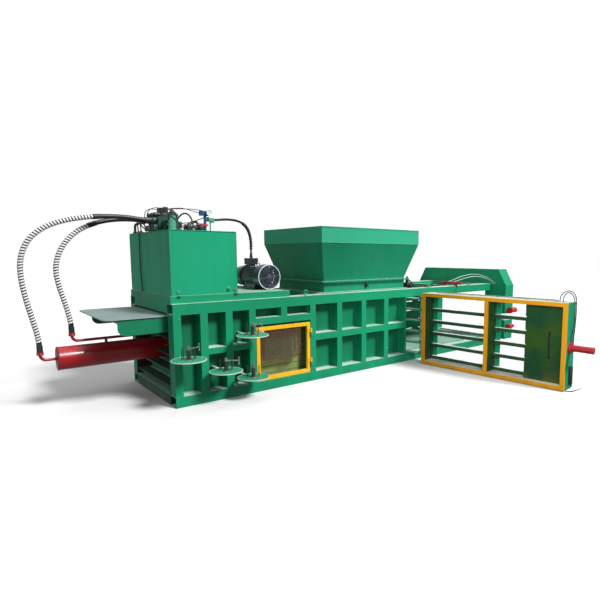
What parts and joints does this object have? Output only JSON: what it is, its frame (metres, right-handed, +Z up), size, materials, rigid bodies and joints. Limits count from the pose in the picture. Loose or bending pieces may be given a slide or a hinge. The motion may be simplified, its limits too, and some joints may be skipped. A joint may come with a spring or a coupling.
{
  "type": "recycling baler",
  "caption": "Horizontal ribbed steel baler with a hydraulic ram, a flared feed hopper, a power unit on top, and a slatted side door that swings open to push out tied bales.",
  "frame": {"origin": "on the floor, in the middle of the base frame", "axes": "+X along the machine to the bale exit, +Y to the far side, +Z up"},
  "size_m": [8.2311, 4.9521, 2.44],
  "materials": {
    "press_green": "gloss enamel on welded steel",
    "cylinder_red": "gloss crimson enamel",
    "ground_steel": "ground and chromed",
    "cover_sheet_steel": "bare rubbed sheet",
    "filter_green": "light enamel",
    "black_cast": "satin black",
    "gauge_blue": "enamel",
    "motor_navy": "gloss enamel on cast iron",
    "fan_cover_paint": "gloss enamel on sheet",
    "fan_plastic": "moulded",
    "door_yellow": "worn enamel",
    "door_olive": "dull enamel",
    "inspection_yellow": "gloss enamel",
    "brown_mesh": "expanded metal, rusted",
    "hose_rubber": "hydraulic hose"
  },
  "bodies": {
    "frame": {"base_frame": "press_green", "floor_plate": "press_green", "near_side_wall": "press_green", "far_side_wall": "press_green", "near_side_frame": "press_green", "far_side_frame": "press_green", "rear_roof_deck": "press_green", "front_roof_deck": "press_green", "hopper_neck": "press_green", "hopper_funnel": "press_green", "cylinder_crosshead": "press_green", "main_cylinder_barrel": "cylinder_red", "cylinder_gland": "cylinder_red", "cap_end_elbow": "cylinder_red", "rod_side_pipe": "cylinder_red", "power_unit_skid": "press_green", "oil_tank": "press_green", "tank_lid": "press_green", "tank_clamps": "press_green", "drain_plug": "filter_green", "return_filter": "filter_green", "filter_cap": "black_cast", "valve_manifold": "press_green", "solenoid_valves": "black_cast", "pressure_gauge": "gauge_blue", "ball_valve": "black_cast", "motor_body": "motor_navy", "motor_fan_cover": "fan_cover_paint", "motor_terminal_box": "motor_navy", "bell_housing": "press_green", "hydraulic_pump": "black_cast", "far_slat_wall": "press_green", "end_portal": "press_green", "portal_lock_units": "cylinder_red", "hinge_arms": "press_green", "bale_door_hinge_pin": "ground_steel", "inspection_hinges": "press_green", "reel_brackets": "press_green", "cap_side_hose": "hose_rubber", "rod_side_hose": "hose_rubber", "motor_conduit": "hose_rubber"},
    "ram": {"piston_rod": "ground_steel", "piston": "ground_steel", "ram_body": "press_green", "ram_cover": "cover_sheet_steel"},
    "bale_door": {"bale_door_frame": "door_yellow", "door_slats": "door_olive", "door_lock_cylinder": "cylinder_red", "door_lock_hose": "hose_rubber"},
    "lock_rod": {"door_lock_rod": "ground_steel"},
    "inspection_door": {"inspection_door_frame": "inspection_yellow", "inspection_mesh": "brown_mesh"},
    "rotor": {"motor_rotor": "ground_steel", "cooling_fan": "fan_plastic", "shaft_coupling": "ground_steel"},
    "valve_lever": {"ball_valve_handle": "cylinder_red"},
    "reel_1": {"wire_reel_1": "press_green"},
    "reel_2": {"wire_reel_2": "press_green"},
    "reel_3": {"wire_reel_3": "press_green"},
    "reel_4": {"wire_reel_4": "press_green"}
  },
  "joints": [
    {"name": "ram_slide", "type": "slide", "parent": "frame", "child": "ram", "axis": [1, 0, 0], "range_m": [0, 2]},
    {"name": "bale_door_hinge", "type": "hinge", "parent": "frame", "child": "bale_door", "pos_m": [0.656, -1.095, 0.6], "axis": [0, 0, 1], "range_deg": [-20, 85.3]},
    {"name": "lock_rod_slide", "type": "slide", "parent": "bale_door", "child": "lock_rod", "axis": [0.0819, -0.9966, 0], "range_m": [-0.06, 0.06]},
    {"name": "inspection_door_hinge", "type": "hinge", "parent": "frame", "child": "inspection_door", "pos_m": [-1.447, -0.855, 0.5], "axis": [0, 0, 1], "range_deg": [0, 110]},
    {"name": "motor_rotor_spin", "type": "hinge", "parent": "frame", "child": "rotor", "pos_m": [-1.9, 0, 1.515], "axis": [0, 1, 0], "range_deg": [-360, 360]},
    {"name": "ball_valve_turn", "type": "hinge", "parent": "frame", "child": "valve_lever", "pos_m": [-2.826, -0.368, 2.212], "axis": [0, -1, 0], "range_deg": [0, 90]},
    {"name": "reel_1_spin", "type": "hinge", "parent": "frame", "child": "reel_1", "pos_m": [-3.325, -1.09, 0.62], "axis": [0, 0, 1], "range_deg": [-360, 360]},
    {"name": "reel_2_spin", "type": "hinge", "parent": "frame", "child": "reel_2", "pos_m": [-2.873, -1.09, 0.42], "axis": [0, 0, 1], "range_deg": [-360, 360]},
    {"name": "reel_3_spin", "type": "hinge", "parent": "frame", "child": "reel_3", "pos_m": [-2.508, -1.09, 0.283], "axis": [0, 0, 1], "range_deg": [-360, 360]},
    {"name": "reel_4_spin", "type": "hinge", "parent": "frame", "child": "reel_4", "pos_m": [-2.508, -1.09, 0.819], "axis": [0, 0, 1], "range_deg": [-360, 360]}
  ]
}
